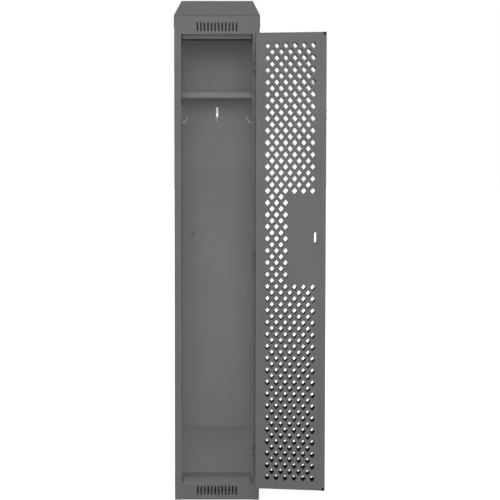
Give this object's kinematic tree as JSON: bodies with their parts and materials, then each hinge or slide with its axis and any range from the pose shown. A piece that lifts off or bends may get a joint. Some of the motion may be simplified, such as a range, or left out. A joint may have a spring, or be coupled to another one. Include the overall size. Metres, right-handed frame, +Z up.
{
  "type": "locker cabinet",
  "caption": "Tall narrow steel locker with a sloping top, a perforated diamond-mesh door, a hat shelf, coat hooks and a padlock staple.",
  "frame": {"origin": "centre of the body's footprint, on the floor", "axes": "+X to the right seen from the front, +Y to the back, +Z up"},
  "size_m": [0.5402, 0.5119, 1.9143],
  "materials": {
    "powder_coat": "satin fine-textured grey powder coat",
    "plain_steel": "drawn steel wire",
    "zinc_plate": "bright zinc plate",
    "number_plate": "satin",
    "rubber": "matt"
  },
  "bodies": {
    "cabinet": {"back_coat_hook": "zinc_plate", "back_panel": "powder_coat", "back_rivets": "powder_coat", "floor_pan": "powder_coat", "hat_shelf": "powder_coat", "header_rail": "powder_coat", "hood_screws": "zinc_plate", "hook_screws": "zinc_plate", "kick_rail": "powder_coat", "left_coat_hook": "zinc_plate", "left_jamb": "powder_coat", "left_side_panel": "powder_coat", "lower_hinge_frame_leaf": "powder_coat", "lower_hinge_pin": "plain_steel", "middle_hinge_frame_leaf": "powder_coat", "middle_hinge_pin": "plain_steel", "padlock_staple": "powder_coat", "right_coat_hook": "zinc_plate", "right_jamb": "powder_coat", "right_side_panel": "powder_coat", "shelf_rivets": "powder_coat", "sloping_top": "powder_coat", "staple_rivets": "powder_coat", "top_panel": "powder_coat", "upper_hinge_frame_leaf": "powder_coat", "upper_hinge_pin": "plain_steel"},
    "door": {"door_outer_pan": "powder_coat", "door_inner_panel": "powder_coat", "number_plate": "number_plate", "plate_rivets": "number_plate", "edge_bumpers": "rubber", "upper_hinge_door_leaf": "powder_coat", "middle_hinge_door_leaf": "powder_coat", "lower_hinge_door_leaf": "powder_coat"}
  },
  "joints": [
    {"name": "door_swing", "type": "hinge", "parent": "cabinet", "child": "door", "pos_m": [0.1315, -0.234, 0.8695], "axis": [0, 0, 1], "range_deg": [-176.1, 3.9]}
  ]
}
